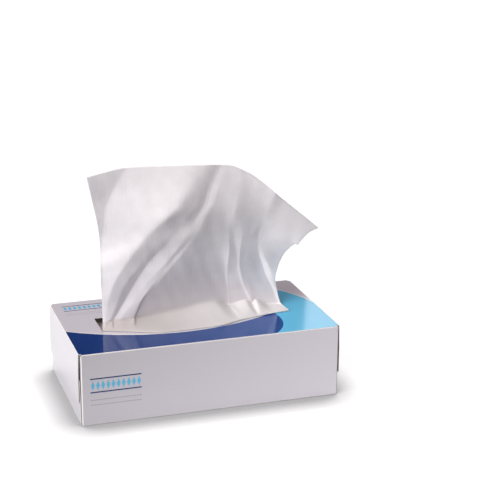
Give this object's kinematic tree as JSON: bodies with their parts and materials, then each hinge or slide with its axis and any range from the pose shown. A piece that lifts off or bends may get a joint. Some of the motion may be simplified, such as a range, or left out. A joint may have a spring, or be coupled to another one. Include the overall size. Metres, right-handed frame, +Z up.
{
  "type": "tissue box",
  "caption": "Flat folded paperboard tissue box with a long slot in its top, a stack of folded sheets inside and one sheet pulled up through the slot.",
  "frame": {"origin": "middle of the carton's bottom, on the surface that it stands on", "axes": "+X along the carton's length to the right of the front panel, +Y from the front panel to the back panel, +Z up"},
  "size_m": [0.2224, 0.124, 0.198],
  "materials": {
    "paperboard": "white coated board, printed on top and varnished",
    "tissue_paper": "soft two-ply tissue, matt and slightly translucent"
  },
  "bodies": {
    "root": {"carton": "paperboard", "tissue_stack": "tissue_paper", "pulled_tissue": "tissue_paper"}
  },
  "joints": []
}
